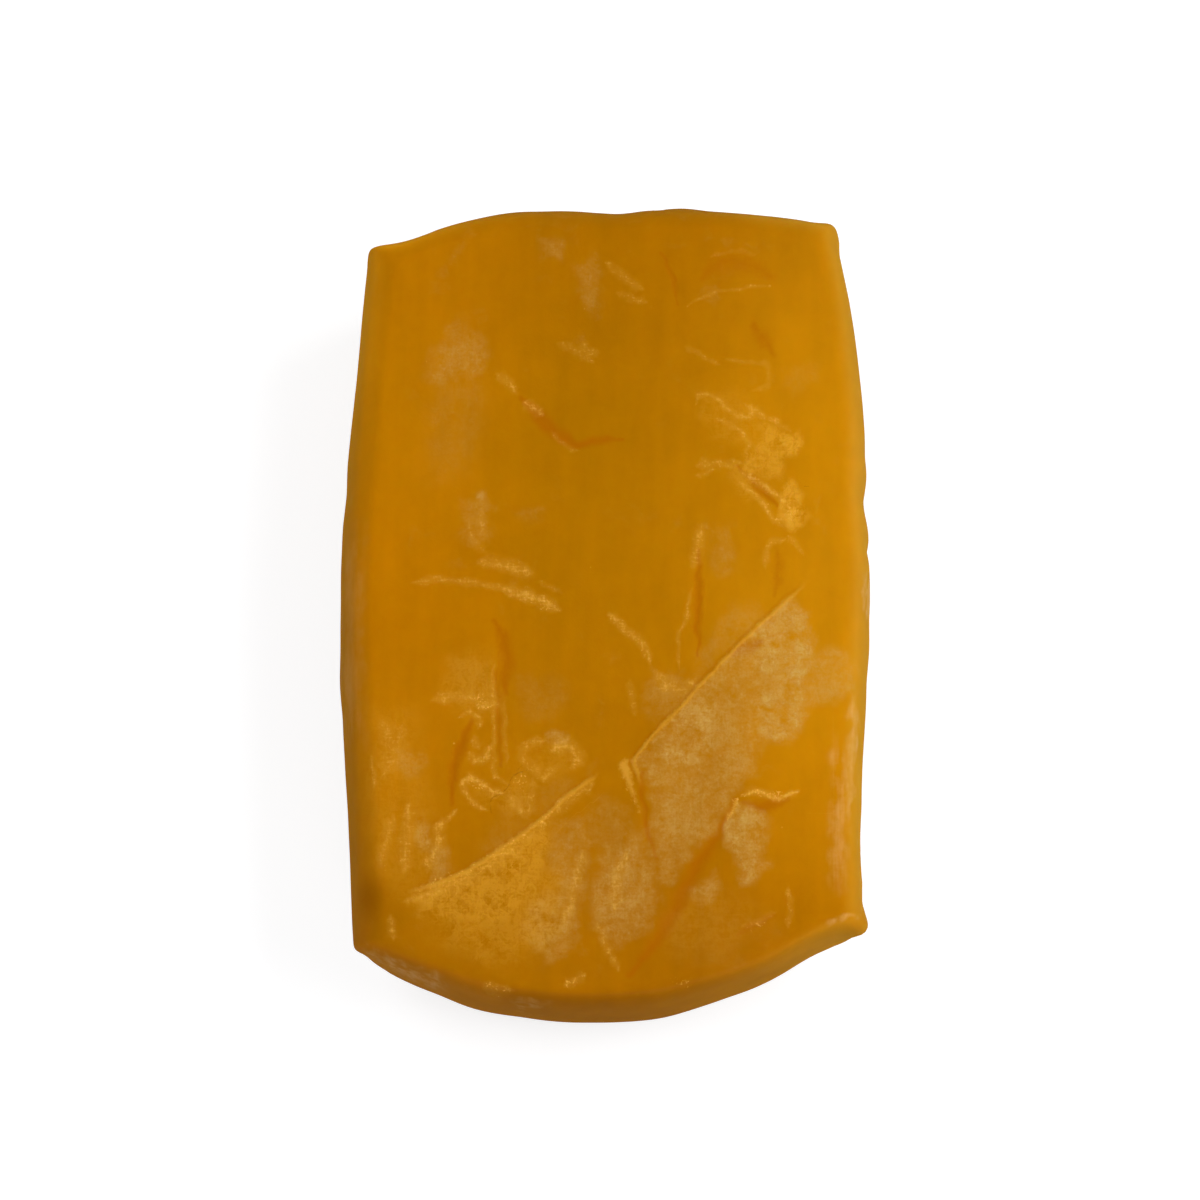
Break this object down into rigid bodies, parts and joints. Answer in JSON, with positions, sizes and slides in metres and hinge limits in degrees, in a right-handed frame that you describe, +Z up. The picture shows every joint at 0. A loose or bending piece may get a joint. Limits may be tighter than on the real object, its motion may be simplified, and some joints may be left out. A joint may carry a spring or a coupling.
{
  "type": "block of butter cheese",
  "caption": "Unwrapped block of semi-soft butter cheese with bulging sides, a bowed end, pinched corners and fold ridges pressed into its top.",
  "frame": {"origin": "on the table under the middle of the block", "axes": "+Y along the length towards the flatter far end, +X across the width, +Z up out of the crowned top"},
  "size_m": [0.0844, 0.1296, 0.0402],
  "materials": {
    "cheese": "waxy amber cheese, slightly translucent, with pale hazy bloom"
  },
  "bodies": {
    "root": {"cheese_block": "cheese"}
  },
  "joints": []
}
